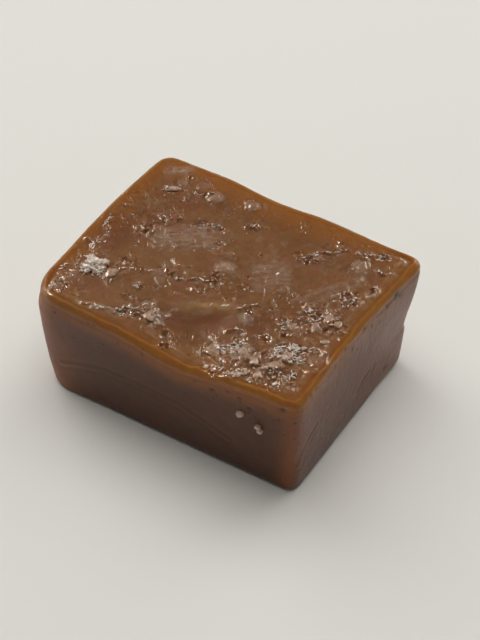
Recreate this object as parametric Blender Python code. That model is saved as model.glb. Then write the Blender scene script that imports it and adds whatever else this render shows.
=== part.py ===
"""A salted caramel: one block of soft caramel, cut by hand and pressed a little out of square.

Metres, +Z up. The origin is the middle of the footprint's bounding box, on the flat base at z = 0.
+X runs along the long side, and the long side at -Y is the front, whose top edge sags.

The block starts as a cube that is sliced into a grid, finer where an edge is rounded. Every point
of the grid then goes through the same steps: its edges are rounded, its top gets a rim, a shallow
dish and low swells, its front edge sags, its corners lean and its sides curve.
"""

import math

import bmesh
import bpy

MM = 0.001

# The block before its corners lean.
LENGTH = 28.0 * MM
WIDTH = 21.0 * MM
HEIGHT = 13.4 * MM

# Rounding of the edges round the top and round the base.
TOP_ROUND = 0.80 * MM
BASE_ROUND = 0.60 * MM

# The four upright corners, by the signs of x and y, in millimetres: the radius seen from above, how
# far the top and the base of the corner stand off the block's own, and how far its top is lifted.
CORNERS = {
    (-1, -1): {"radius": 3.1, "top": (-0.1, -0.7), "base": (0.0, -0.3), "lift": -0.10},
    (1, -1): {"radius": 1.2, "top": (-0.2, 0.0), "base": (-0.8, 0.8), "lift": 0.05},
    (1, 1): {"radius": 1.4, "top": (0.7, 0.3), "base": (0.0, -0.6), "lift": -0.05},
    (-1, 1): {"radius": 1.7, "top": (0.0, 0.5), "base": (0.0, 0.0), "lift": 0.20},
}

# How far the top of a side stands out, or in if below zero, half way along it.
FRONT_BOW = 0.35 * MM
RIGHT_BOW = -0.50 * MM
LEFT_BOW = 0.30 * MM

# How far the left side bulges half way up, and the wave along the top of the back.
LEFT_BELLY = 0.36 * MM
BACK_WAVE = 0.22 * MM
BACK_WAVE_LENGTH = 13.0 * MM
BACK_WAVE_START = -1.2

# The lip of the (+x, +y) corner, where the knife dragged it out over a hollow.
LIP_REACH = 0.26 * MM
LIP_TURN = 0.55  # the share of the height where lip turns to hollow
LIP_SPREAD = 6.0 * MM

# The top: a rim inside its rounded edge, a slope, and a dish. The back has a broad shoulder instead.
RIM_WIDTH = 0.90 * MM
RIM_SLOPE = 1.20 * MM
SHOULDER_SLOPE = 3.20 * MM
DISH_DEPTH = 0.36 * MM

# The sag of the front top edge: how deep, where along the edge, half its length, and how far back.
SAG_DEPTH = 1.15 * MM
SAG_PLACE = 2.4 * MM
SAG_SPREAD = 4.2 * MM
SAG_REACH = 5.0 * MM
SAG_START = 0.45  # the share of the height above which the front face sags with its edge
SAG_FULL = 0.95

# Low ridges, mounds and hollows of the dish, in millimetres: the middle, the turn of the long way in
# degrees, half the length and half the width, and the height.
SWELLS = [
    {"at": (0.4, -4.4), "turn": 24, "half": (4.4, 0.8), "height": 0.26},
    {"at": (0.8, -7.2), "turn": 55, "half": (3.0, 1.5), "height": -0.24},
    {"at": (6.5, -2.4), "turn": 86, "half": (4.2, 0.8), "height": -0.26},
    {"at": (9.6, 3.4), "turn": 64, "half": (3.0, 0.8), "height": 0.20},
    {"at": (9.9, -3.4), "turn": 80, "half": (3.4, 1.6), "height": 0.24},
    {"at": (7.4, -7.6), "turn": 10, "half": (3.4, 1.7), "height": 0.24},
    {"at": (-5.4, 2.4), "turn": 35, "half": (4.0, 1.8), "height": 0.16},
    {"at": (-8.2, -1.8), "turn": -20, "half": (3.4, 1.6), "height": -0.14},
    {"at": (-10.4, -5.4), "turn": 10, "half": (1.9, 1.4), "height": 0.28},
    {"at": (-4.8, -8.6), "turn": 12, "half": (3.6, 0.9), "height": 0.20},
    {"at": (2.4, 4.8), "turn": -30, "half": (4.6, 2.2), "height": -0.14},
]

# How the block is sliced.
SLICES_IN_ROUND = 3
TOP_SPACING = 0.95 * MM
SIDE_SPACING = 1.30 * MM
ON_PLANE = 0.001 * MM

CARAMEL_COLOUR = (0.33, 0.13, 0.035, 1.0)
CARAMEL_ROUGHNESS = 0.32


def smooth_step(value):
    """0 below 0, 1 above 1, and an even S between."""
    t = min(max(value, 0.0), 1.0)
    return t * t * (3.0 - 2.0 * t)


def bell(distance, spread):
    return math.exp(-((distance / spread) ** 2))


# The sliced block.


def places_between(start, end, spacing):
    """Even places between start and end, about spacing apart, without the two ends."""
    count = max(1, round((end - start) / spacing))
    return [start + (end - start) * i / count for i in range(1, count)]


def places_across(size):
    """Where the length or the width is sliced: close together at both ends."""
    depths = [TOP_ROUND * i / SLICES_IN_ROUND for i in range(1, SLICES_IN_ROUND + 1)]
    depths += [RIM_WIDTH + RIM_SLOPE * share for share in (0.25, 0.75)]
    inner = size / 2 - depths[-1]
    right = [size / 2 - depth for depth in depths]
    left = [-place for place in right]
    return left + places_between(-inner, inner, TOP_SPACING) + right


def places_upward():
    """Where the height is sliced: close together where the base and the top are rounded."""
    low = [BASE_ROUND * i / SLICES_IN_ROUND for i in range(1, SLICES_IN_ROUND + 1)]
    high = [HEIGHT - TOP_ROUND * i / SLICES_IN_ROUND for i in range(1, SLICES_IN_ROUND + 1)]
    return low + places_between(low[-1], high[-1], SIDE_SPACING) + high


def slice_block(block, axis, places):
    """Cuts all of the block at each place along the axis and keeps both sides."""
    normal = [1.0 if i == axis else 0.0 for i in range(3)]
    for place in places:
        everything = block.verts[:] + block.edges[:] + block.faces[:]
        point = [place * n for n in normal]
        bmesh.ops.bisect_plane(block, geom=everything, dist=ON_PLANE, plane_co=point, plane_no=normal)


def sliced_block():
    """The plain block, standing on z = 0, with a grid of faces on its sides and its top."""
    block = bmesh.new()
    bmesh.ops.create_cube(block, size=1.0)
    bmesh.ops.translate(block, verts=block.verts, vec=(0.0, 0.0, 0.5))
    bmesh.ops.scale(block, verts=block.verts, vec=(LENGTH, WIDTH, HEIGHT))
    slice_block(block, 0, places_across(LENGTH))
    slice_block(block, 1, places_across(WIDTH))
    slice_block(block, 2, places_upward())
    return block


# The steps that every point goes through.


def rounded(inside, past, radius):
    """Takes a point of a square edge to the same edge rounded.

    inside is the point's depth from the upright side, and past is how far it stands beyond the start
    of the rounding. The square edge's two sides land on a quarter circle.
    """
    out = radius - inside
    if out <= 0.0 or past <= 0.0:
        return inside, past
    scale = max(out, past) / math.hypot(out, past)
    return radius - out * scale, past * scale


def with_round_edges(x, y, z):
    """Rounds the upright corners and the edges round the top and the base."""
    corner = CORNERS[(1 if x >= 0 else -1, 1 if y >= 0 else -1)]
    radius = corner["radius"] * MM
    core_x = min(max(x, radius - LENGTH / 2), LENGTH / 2 - radius)
    core_y = min(max(y, radius - WIDTH / 2), WIDTH / 2 - radius)
    out_x = x - core_x
    out_y = y - core_y
    reach = max(abs(out_x), abs(out_y))
    if reach == 0.0:
        return x, y, z

    inside = radius - reach
    if z > HEIGHT - TOP_ROUND:
        inside, past = rounded(inside, z - HEIGHT + TOP_ROUND, TOP_ROUND)
        z = HEIGHT - TOP_ROUND + past
    elif z < BASE_ROUND:
        inside, past = rounded(inside, BASE_ROUND - z, BASE_ROUND)
        z = BASE_ROUND - past
    scale = (radius - inside) / math.hypot(out_x, out_y)
    return core_x + out_x * scale, core_y + out_y * scale, z


def swell_height(x, y):
    """The height that all the swells add at one place of the top."""
    total = 0.0
    for swell in SWELLS:
        turn = math.radians(swell["turn"])
        from_x = x / MM - swell["at"][0]
        from_y = y / MM - swell["at"][1]
        along = from_x * math.cos(turn) + from_y * math.sin(turn)
        across = from_y * math.cos(turn) - from_x * math.sin(turn)
        total += swell["height"] * bell(along, swell["half"][0]) * bell(across, swell["half"][1])
    return total * MM


def with_dished_top(x, y, z):
    """Sinks the dish inside the rim and lays the swells on it."""
    depth = min(LENGTH / 2 - abs(x), WIDTH / 2 - abs(y))
    slope = smooth_step((depth - RIM_WIDTH) / RIM_SLOPE)
    shoulder = smooth_step((WIDTH / 2 - y - RIM_WIDTH) / SHOULDER_SLOPE)
    return x, y, z + slope * shoulder * (swell_height(x, y) - DISH_DEPTH)


def with_sagging_front(x, y, z):
    """Lets the front top edge sag, with the top behind it and the face below it."""
    share = smooth_step((z / HEIGHT - SAG_START) / (SAG_FULL - SAG_START))
    sag = SAG_DEPTH * bell(x - SAG_PLACE, SAG_SPREAD) * bell(y + WIDTH / 2, SAG_REACH)
    return x, y, z - sag * share


def with_leaning_corners(x, y, z):
    """Moves the corners out of square, one way at the top and another at the base."""
    up = min(max(z / HEIGHT, 0.0), 1.0)
    right = min(max(x / LENGTH + 0.5, 0.0), 1.0)
    back = min(max(y / WIDTH + 0.5, 0.0), 1.0)
    move = [0.0, 0.0, 0.0]
    for (sign_x, sign_y), corner in CORNERS.items():
        share = (right if sign_x > 0 else 1.0 - right) * (back if sign_y > 0 else 1.0 - back) * MM
        for axis in (0, 1):
            move[axis] += share * (corner["top"][axis] * up + corner["base"][axis] * (1.0 - up))
        move[2] += share * corner["lift"] * up * up
    return x + move[0], y + move[1], z + move[2]


def with_curved_sides(x, y, z):
    """Curves the four sides, most at the top, and pulls out the lip."""
    up = min(max(z / HEIGHT, 0.0), 1.0)
    along = 2 * x / LENGTH
    across = 2 * y / WIDTH
    at_right = max(along, 0.0) ** 2
    at_left = min(along, 0.0) ** 2
    at_back = max(across, 0.0) ** 2
    at_front = min(across, 0.0) ** 2

    wave = BACK_WAVE * math.sin(2 * math.pi * x / BACK_WAVE_LENGTH + BACK_WAVE_START)
    move_x = up * (1 - across * across) * (RIGHT_BOW * at_right - LEFT_BOW * at_left)
    move_y = up * (1 - along * along) * (wave * at_back - FRONT_BOW * at_front)
    belly = LEFT_BELLY * at_left * math.sin(math.pi * up)

    from_corner = math.hypot(x - LENGTH / 2, y - WIDTH / 2)
    lip = LIP_REACH * bell(from_corner, LIP_SPREAD) * math.sin(2 * math.pi * (up - LIP_TURN)) * up
    return x + move_x - belly + lip * at_right, y + move_y + lip * at_back, z


def shaped(x, y, z):
    on_top = z > HEIGHT - ON_PLANE
    point = with_round_edges(x, y, z)
    if on_top:
        point = with_dished_top(*point)
    point = with_sagging_front(*point)
    point = with_leaning_corners(*point)
    return with_curved_sides(*point)


# The finished solid.


def centre_on_origin(block):
    """Puts the middle of the footprint's bounding box on the origin."""
    xs = [vert.co.x for vert in block.verts]
    ys = [vert.co.y for vert in block.verts]
    middle = ((min(xs) + max(xs)) / 2, (min(ys) + max(ys)) / 2, 0.0)
    bmesh.ops.translate(block, verts=block.verts, vec=[-place for place in middle])


def join_flat_base(block):
    """Joins the grid of the flat base into one face."""
    base = [face for face in block.faces if all(abs(vert.co.z) < ON_PLANE for vert in face.verts)]
    bmesh.ops.dissolve_faces(block, faces=base, use_verts=True)


def caramel_material():
    material = bpy.data.materials.new("caramel")
    material.use_nodes = True
    shader = material.node_tree.nodes["Principled BSDF"]
    shader.inputs["Base Color"].default_value = CARAMEL_COLOUR
    shader.inputs["Roughness"].default_value = CARAMEL_ROUGHNESS
    shader.inputs["Metallic"].default_value = 0.0
    material.diffuse_color = CARAMEL_COLOUR
    return material


def make_caramel():
    block = sliced_block()
    for vert in block.verts:
        vert.co = shaped(*vert.co)
    centre_on_origin(block)
    join_flat_base(block)
    mesh = bpy.data.meshes.new("caramel")
    block.to_mesh(mesh)
    block.free()
    mesh.shade_smooth()
    mesh.materials.append(caramel_material())
    return bpy.data.objects.new("caramel", mesh)


def main():
    for old in list(bpy.data.objects):
        bpy.data.objects.remove(old)
    collection = bpy.data.collections.new("salted caramel candy")
    bpy.context.scene.collection.children.link(collection)
    collection.objects.link(make_caramel())


main()
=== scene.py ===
import bpy
import math
import random
import numpy as np
from mathutils import Matrix, Vector, noise
from mathutils.bvhtree import BVHTree
from mathutils.kdtree import KDTree


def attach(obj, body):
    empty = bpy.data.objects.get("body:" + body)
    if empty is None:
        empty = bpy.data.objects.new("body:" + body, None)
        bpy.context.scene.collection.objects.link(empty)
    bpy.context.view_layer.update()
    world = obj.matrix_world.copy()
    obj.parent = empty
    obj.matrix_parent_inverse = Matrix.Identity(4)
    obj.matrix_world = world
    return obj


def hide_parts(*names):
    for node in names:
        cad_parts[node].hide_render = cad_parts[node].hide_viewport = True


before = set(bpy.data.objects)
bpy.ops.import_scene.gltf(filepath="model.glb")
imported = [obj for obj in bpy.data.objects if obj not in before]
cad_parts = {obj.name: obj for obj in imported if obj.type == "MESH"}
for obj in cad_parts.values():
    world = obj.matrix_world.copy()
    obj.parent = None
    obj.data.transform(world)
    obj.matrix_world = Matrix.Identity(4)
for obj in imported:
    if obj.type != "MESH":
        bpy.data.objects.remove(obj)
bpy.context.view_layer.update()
mm = 0.001  # every place and size below is in millimetres


# Small helpers.

def pick(*pieces):
    bpy.ops.object.select_all(action="DESELECT")
    for piece in pieces:
        piece.select_set(True)
    bpy.context.view_layer.objects.active = pieces[0]


def applyModifier(piece, kind, **settings):
    modifier = piece.modifiers.new(kind.title(), kind)
    for key, value in settings.items():
        setattr(modifier, key, value)
    pick(piece)
    bpy.ops.object.modifier_apply(modifier=modifier.name)


def readVectors(items, name):
    flat = np.empty(len(items) * 3, np.float32)
    items.foreach_get(name, flat)
    return flat.reshape(-1, 3).astype(float)


def readPoints(mesh):
    return readVectors(mesh.vertices, "co") / mm


def readNormals(mesh):
    return readVectors(mesh.vertex_normals, "vector")


def writePoints(mesh, points):
    mesh.vertices.foreach_set("co", (points * mm).astype(np.float32).ravel())
    mesh.update()


def writeMask(mesh, name, values):
    attribute = mesh.attributes.new(name, "FLOAT", "POINT")
    attribute.data.foreach_set("value", np.clip(values, 0, 1).astype(np.float32))


def smoothStep(value, start, end):
    t = np.clip((value - start) / (end - start), 0, 1)
    return t * t * (3 - 2 * t)


def bell(distance, spread):
    return np.exp(-((distance / spread) ** 2))


def lumps(points, size, seed):
    # Perlin noise, about -1 to 1, with lumps about size millimetres across
    return np.array([noise.noise(Vector(point)) for point in points / size + seed * 7.31])


def crests(points, size, seed, sharp=2):
    # 1 along a net of winding crests, falling to 0 between them
    return (1 - np.minimum(np.abs(lumps(points, size, seed)) * 1.8, 1)) ** sharp


def turned(x, y, atX, atY, turn):
    # the same coordinates measured from a place, along and across its own turn
    angle = math.radians(turn)
    along = (x - atX) * math.cos(angle) + (y - atY) * math.sin(angle)
    across = (y - atY) * math.cos(angle) - (x - atX) * math.sin(angle)
    return along, across


def spot(x, y, atX, atY, long, wide, turn=0.0):
    # a soft oval: 1 in the middle, 0.37 at the half lengths
    along, across = turned(x, y, atX, atY, turn)
    return bell(along, long) * bell(across, wide)


def squareDistance(x, y, atX, atY, long, wide, turn=0.0, power=2.6):
    # 0 in the middle of a square with round corners, 1 on its edge
    along, across = turned(x, y, atX, atY, turn)
    return (np.abs(along / long) ** power + np.abs(across / wide) ** power) ** (1 / power)


def nearLine(x, y, line):
    # how far each point is from a line of straight stretches
    nearest = np.full(len(x), 1e9)
    for (startX, startY), (endX, endY) in zip(line, line[1:]):
        wayX, wayY = endX - startX, endY - startY
        share = ((x - startX) * wayX + (y - startY) * wayY) / (wayX ** 2 + wayY ** 2)
        share = np.clip(share, 0, 1)
        away = np.hypot(x - startX - share * wayX, y - startY - share * wayY)
        nearest = np.minimum(nearest, away)
    return nearest


def selectFaces(piece, rule):
    # selects the faces whose middle (in millimetres) and normal pass the rule
    mesh = piece.data
    middle, normal = readVectors(mesh.polygons, "center") / mm, readVectors(mesh.polygons, "normal")
    pick(piece)
    bpy.ops.object.mode_set(mode="EDIT")
    bpy.ops.mesh.select_mode(type="FACE")
    bpy.ops.mesh.select_all(action="DESELECT")
    bpy.ops.object.mode_set(mode="OBJECT")
    mesh.polygons.foreach_set("select", rule(middle, normal))


def copyOf(piece, name):
    copied = bpy.data.objects.new(name, piece.data.copy())
    bpy.context.scene.collection.objects.link(copied)
    return copied


# The block: the CAD solid, remeshed fine enough for its skin, then shaped point by point.

blockLook = {
    "voxel": 0.212,  # between points of the sides; the top gets half of it
    "sway": 0.045,  # broad unevenness of every side
    "rimBead": 0.065,  # the bead along the front and right top edges
    "rimGroove": 0.07,
    "wornDrop": 0.45,  # how far the left front corner is worn down
    "wornBulge": 0.28,  # and how far it stands out below
    "footBulge": 0.24,  # the lip at the foot of the back right corner
    "ribHeight": 0.022,  # the fine upright ribs of the short sides
    "markHeight": 0.055,  # the raised edge of a knife mark
    "markGroove": 0.05,
    "speckDepth": 0.12,
    "rimCrease": 0.06,  # the thin line where a cut face folds under the rim
    "lumpHeight": 0.18,  # relief of the rough spots, at four sizes
    "lumpSize": 0.95,
    "threadHeight": 0.12,
    "threadSize": 0.70,
    "crumbHeight": 0.08,
    "crumbSize": 0.60,
    "grainHeight": 0.035,
    "grainSize": 0.28,
    # where the top is rough from salt that sank in: x, y, two half sizes, turn, strength
    "roughSpots": [
        (-10.4, -5.7, 1.5, 1.2, 0, 0.6), (-12.4, -3, 0.9, 1.3, 40, 0.4), (-12.7, -0.8, 0.5, 0.9, 35, 0.6),
        (-12.9, 2.6, 0.5, 0.6, 0, 0.5), (-13.1, 0.9, 0.35, 1, 0, 0.5), (-12.6, -4.6, 0.5, 0.6, 0, 0.25),
        (-8.8, 3, 1.1, 0.7, 10, 0.7), (-4.4, 4.3, 1.9, 0.6, 10, 0.8), (-2.4, 3, 0.5, 1, 0, 0.7),
        (-9.2, 1.3, 1.2, 0.7, -20, 0.7), (-7, 7.8, 1.6, 0.7, 10, 0.6), (-7.3, 3.8, 0.6, 0.6, 0, 0.6),
        (-9.2, 9.3, 0.6, 0.5, 0, 0.4), (-1.2, 6.3, 0.9, 0.6, 30, 0.7), (-0.3, -1.2, 1.1, 1, 0, 0.7),
        (-1, -2.8, 1, 0.6, 20, 0.6), (-4.2, -2.6, 1.8, 0.8, 0, 0.7), (-8.6, -3.4, 0.9, 0.5, 0, 0.6),
        (-5.9, -5.5, 0.7, 0.5, 0, 0.7), (-4.7, -8.7, 1.5, 0.8, 20, 0.9), (-2.6, -7.9, 1.4, 0.9, 0, 0.8),
        (-11.6, -9.3, 1.2, 0.9, -25, 0.8), (-12.9, -6.6, 0.5, 1.4, 0, 0.4), (6, 5.9, 1.5, 0.7, 45, 0.8),
        (7.4, 8.2, 1.3, 0.6, 20, 0.5), (10.8, 8.9, 2, 0.5, 22, 0.7), (12.2, 7.4, 0.9, 0.6, 0, 0.7),
        (12.2, 4.7, 0.7, 0.9, 0, 0.6), (4.2, 5.6, 0.5, 0.8, 0, 0.5), (10.9, 2.6, 1.3, 1.2, 50, 0.9),
        (10.6, -0.6, 2.2, 1.3, 0, 1), (8.3, -2.5, 1.2, 1, 0, 1), (8.6, 0.2, 0.6, 0.5, 0, 0.7),
        (7.3, -4.9, 0.6, 0.5, 0, 0.7), (9.7, -5.4, 1.5, 1.2, 30, 1), (6.6, -7.6, 2.5, 2, 0, 0.9),
        (8.8, -8.4, 2.6, 1.7, 0, 0.9), (11.3, -7.6, 1, 1.6, 0, 0.6), (4.2, -2.8, 0.9, 0.5, 50, 0.8),
        (5.2, -5.6, 1, 0.4, -30, 0.5), (5.5, -10, 2.2, 0.5, 0, 0.8), (0, -9.4, 0.7, 0.8, 0, 0.6),
        (12, -2.8, 0.4, 0.6, 0, 0.6), (1.4, 3.8, 0.5, 0.4, 0, 0.4),
    ],
    # where the top is smoothest
    "calmSpots": [
        (2.5, 5, 6, 3.2, -10, 1), (-5, -0.5, 4, 1.2, 10, 1), (0, -6, 4.5, 2, 25, 0.9),
        (-8, -8, 3, 1, -12, 0.8),
    ],
    # where the top is pale and dull from fine salt under a thin film
    "paleSpots": [
        (-11.1, 9.3, 1.5, 0.75, 35, 1), (-12.2, -9.3, 0.9, 0.5, -25, 0.8), (-7.3, 0.9, 1, 0.9, 0, 0.75),
        (3.9, 3.2, 0.8, 1, 0, 0.3), (9.4, 2.8, 1.8, 0.6, 66, 0.6), (10.6, 4.2, 1.4, 0.5, 60, 0.5),
        (-9, -6.2, 0.9, 0.5, 0, 0.6), (-4.7, -4.1, 0.8, 0.5, 0, 0.5), (4.5, -3.8, 0.8, 0.6, 0, 0.5),
        (-2.4, -8.2, 0.9, 0.7, -30, 0.7), (-6.9, -9.6, 1.6, 0.45, 12, 1), (-1.5, -6.3, 0.5, 0.35, 40, 0.9),
        (-6, -9.2, 0.7, 0.4, 12, 1), (12.2, -5, 0.9, 0.8, 0, 0.2), (6, -7, 1.8, 1.2, 0, 0.7),
        (-3.4, -3.2, 0.7, 0.9, 0, 0.4), (6.2, 6.2, 0.9, 0.5, 45, 0.4), (8, -2.6, 0.9, 0.8, 0, 0.5),
        (10, 7.2, 0.8, 0.9, 0, 0.7), (2.7, 0.9, 0.7, 0.8, 0, 0.4), (-6.4, -0.2, 1, 0.5, 0, 0.4),
        (-4, -7.4, 2.2, 0.8, 15, 0.3),
    ],
    # squarish patches of frost with firm edges
    "frostPatches": [
        (-5.4, 2.1, 3.3, 1.5, 32, 0.66), (3.7, 1.9, 1.7, 1.9, 32, 0.58),
    ],
    # long pale streaks of dissolved salt: line, half width, strength
    "paleStreaks": [
        ([(7.4, 0.6), (8.9, 2.9), (10.7, 5.5)], 0.32, 0.85),
        ([(8.3, 0.2), (9.6, 2.2), (10.9, 3.9)], 0.24, 0.75),
        ([(6.9, 0.1), (7.7, 1.4), (8.3, 2.7)], 0.26, 0.6), ([(5.2, 5), (6.4, 6.4), (7.8, 7.3)], 0.3, 0.5),
        ([(-3.4, -6.2), (-0.8, -5), (1.6, -3.9), (3, -3.3)], 0.22, 0.45),
        ([(2.9, -6.4), (3.3, -5), (3.1, -3.9)], 0.24, 0.45),
        ([(-9, -10.2), (-7.7, -9.9), (-5.9, -9.4)], 0.34, 1),
        ([(-2.8, -7.9), (-2.2, -7.5), (-1.4, -6.4)], 0.36, 1),
        ([(-2.4, -9), (-0.6, -6.5), (1.1, -4.8)], 0.3, 0.45),
        ([(-5.6, -9.2), (-5, -8.3), (-4, -8)], 0.3, 0.9),
    ],
    # where the thin caramel of the ridge catches the light: a painted golden highlight
    "goldStreaks": [
        (1.6, -3.8, 1.7, 0.45, 34, 1.1), (-0.6, -5.2, 1.8, 0.4, 34, 0.35),
    ],
    # where the caramel is darker and redder
    "darkSpots": [
        (-1.4, -7, 2.2, 1, 20, 1), (1.6, -5.6, 2, 0.8, 30, 0.9), (5.6, -3.9, 2.2, 0.9, 40, 0.7),
        (-11.6, -2, 1.6, 4.5, 0, 0.8), (-8.5, 6.5, 3, 1.6, 0, 0.5), (8.8, -6.4, 1.6, 0.6, 20, 0.6),
        (-12, -7.5, 1.5, 2, 0, 0.5), (12, -0.5, 0.9, 3, 0, 0.4),
    ],
    # shallow pits with a raised lip: x, y, radius, depth
    "pits": [
        (-0.7, -8.7, 0.42, 0.16), (0.1, -9.7, 0.26, 0.22), (-0.3, -9.9, 0.2, 0.2), (12.2, -5.2, 0.85, 0.2),
        (12.4, 4.7, 0.36, 0.14), (-5, -2.8, 0.3, 0.16), (-3.3, 4.6, 0.24, 0.16), (5.6, 5, 0.24, 0.2),
        (-0.7, -1, 0.22, 0.14), (-0.4, -2.2, 0.2, 0.14), (11, -1.4, 0.5, 0.18), (9.6, 1.1, 0.24, 0.14),
        (2, 0.6, 0.18, 0.1), (-9.7, 8.9, 0.24, 0.1), (1.5, 3.7, 0.16, 0.1), (-9, 1.3, 0.26, 0.14),
        (8.3, -3.8, 0.3, 0.16), (5.4, -6.9, 0.45, 0.18), (-7.7, 3.9, 0.2, 0.12), (7.9, 0.3, 0.22, 0.14),
    ],
    # folds that stand up from the top: line, half width, height, wetness
    "folds": [
        ([(-3.2, -6.4), (-0.6, -5.2), (1.6, -4), (3.4, -3.2)], 0.55, 0.1, 0),
        ([(7.6, 0.7), (8.9, 2.9), (10.7, 5.5)], 0.3, 0.09, 0.15),
        ([(8.3, 0.2), (9.6, 2.2), (10.9, 3.9)], 0.24, 0.1, 0.2),
        ([(6.9, 0.1), (7.7, 1.4), (8.3, 2.7)], 0.24, 0.08, 0.1),
        ([(10.5, -4.5), (11.2, -3.95), (12, -3.75), (12.5, -4)], 0.2, 0.2, 1),
        ([(3.7, -5.5), (4.2, -5.1), (5, -5.1), (5.5, -5.6), (5.8, -6.4)], 0.2, 0.2, 1),
        ([(2.9, -6.6), (3.3, -6.7), (3.8, -7.1)], 0.17, 0.13, 0.7),
        ([(11.9, 5), (12.4, 5.3), (12.9, 5)], 0.18, 0.17, 1),
        ([(-5.9, -9.2), (-5.3, -8.5), (-4.6, -8.2), (-3.8, -8.3)], 0.21, 0.2, 1),
        ([(-6.3, -9.4), (-5.4, -9.3), (-4.4, -8.9)], 0.19, 0.15, 0.9),
        ([(-4.9, 4.5), (-4.2, 4.5), (-3.7, 4.9), (-3.2, 4.5)], 0.18, 0.14, 0.8),
        ([(-8.2, 2.5), (-8.6, 3.2), (-9.3, 2.9)], 0.18, 0.14, 0.8),
        ([(-13.2, -2.9), (-12.5, -3.1), (-12, -3.9)], 0.2, 0.18, 1),
        ([(-11, 6.6), (-10.3, 6.9), (-9.5, 7.3)], 0.15, 0.2, 1),
        ([(-8.6, -9.9), (-7.9, -9.8), (-6.9, -9.5), (-6.2, -9.6)], 0.2, 0.15, 0.5),
        ([(-1, 6.9), (-0.4, 6.7), (0, 6.9)], 0.18, 0.14, 0.8),
        ([(-4.2, -7.9), (-3.9, -7), (-3.2, -6.7), (-2.7, -7.2), (-2.7, -8), (-3.2, -8.5)], 0.21, 0.2, 1),
        ([(-2.6, -7.9), (-2, -7.4), (-1.5, -7)], 0.2, 0.18, 1),
        ([(-8.3, -4.6), (-7.6, -3.9), (-6.7, -3.6), (-6, -3.3)], 0.18, 0.13, 0.8),
        ([(-4.9, -1), (-4.2, -1.5), (-3.2, -1.2)], 0.18, 0.13, 0.8),
        ([(-2.6, -2.6), (-1.8, -1.9), (-0.9, -1.9), (-0.2, -1.3)], 0.18, 0.14, 0.9),
        ([(6.3, -4.9), (7, -4.5), (7.8, -4.8)], 0.19, 0.16, 1),
        ([(4.6, 5), (5.4, 5.7), (6.2, 6.9), (7.2, 7.4), (8, 8.3)], 0.18, 0.13, 0.8),
        ([(8.9, 8.4), (9.8, 8.6), (10.6, 8.9)], 0.18, 0.14, 0.9),
        ([(11.4, 7.5), (12.1, 7.2), (12.7, 7.5)], 0.18, 0.16, 1),
        ([(3.3, -3.1), (3.85, -2.45), (4.5, -1.7)], 0.17, 0.14, 1),
    ],
    # crystals under a film of caramel: x, y, two half sizes, turn, paleness
    "sunkCrystals": [
        (-6.2, 7.9, 0.8, 0.68, 30, 0.85), (-2.5, 8.7, 0.66, 0.6, 0, 0.75),
        (-0.4, 0.5, 0.95, 0.85, 20, 0.85), (10, 7.1, 0.75, 0.9, 10, 0.65), (13.2, 9.2, 0.6, 0.4, 0, 0.8),
        (-8.6, -5.6, 0.7, 0.62, 20, 0.4), (-6.4, -9.4, 1.1, 0.38, 12, 0.85),
        (-2, -7.8, 0.6, 0.35, -30, 0.85), (-3.8, -6.9, 0.5, 0.35, 20, 0.75), (6, 6.1, 0.45, 0.36, 20, 0.6),
        (-8, 8.6, 0.7, 0.55, 40, 0.45), (-4.9, -3.3, 0.7, 0.55, 0, 0.35), (-9.9, 8, 0.5, 0.45, 0, 0.5),
        (12.1, -5.1, 0.75, 0.65, 0, 0.35), (4.5, -3.8, 0.8, 0.5, 0, 0.55),
    ],
    # dark specks in the cut sides: place along the side, height, radius
    "specks": {
        "front": [
            (5.4, 11, 0.22), (8.1, 11.6, 0.18), (9, 10.7, 0.22), (12.1, 12.4, 0.24), (6.9, 11.8, 0.13),
            (10.4, 11.5, 0.13), (-10.9, 11.8, 0.16), (5.1, 9.2, 0.12),
        ],
        "right": [
            (-7.4, 12.8, 0.22), (-8.3, 12.9, 0.18), (-2.3, 12.9, 0.17), (-1.2, 12, 0.17), (0.9, 12.6, 0.22),
            (2.1, 12, 0.17), (6.1, 12.6, 0.34), (6.7, 12, 0.24), (4.6, 12.3, 0.17), (9.4, 10.9, 0.2),
            (6.2, 2.3, 0.24), (-4.1, 12.6, 0.12), (3.4, 11.3, 0.12), (-0.4, 11.2, 0.12),
        ],
        "back": [
            (-8.4, 11.2, 0.2), (-3.1, 11.9, 0.15), (2.6, 11.5, 0.22), (9.8, 11.8, 0.18), (6.1, 8.8, 0.12),
        ],
        "left": [
            (-6.2, 11.6, 0.2), (-1.4, 12, 0.15), (3.9, 11.4, 0.22), (7.6, 10.6, 0.14),
        ],
    },
    # the faint marks that the knife left on the cut sides
    "knifeMarks": {
        "front": [
            [(-11.4, 4.3), (-9.2, 5.3), (-6.4, 6.3), (-2.4, 6.5), (1.6, 6.2), (3.8, 5.5), (6.6, 4.3)],
        ],
        "right": [
            [(-9, 3.8), (-8.7, 5.6), (-7.8, 6.5), (-6.4, 7.1)], [(1.2, 3.7), (2.2, 4.5), (3.3, 4.8)],
        ],
        "back": [
            [(-9.5, 7), (-5, 5.4), (-0.5, 4.9), (4.6, 5.8)], [(5.2, 3), (8, 2.2), (11, 2.6)],
        ],
        "left": [
            [(-7, 3.2), (-3.4, 4.4), (0.8, 4.6)], [(4.4, 6), (6, 7.4), (6.6, 9)],
        ],
    },
}


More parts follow.
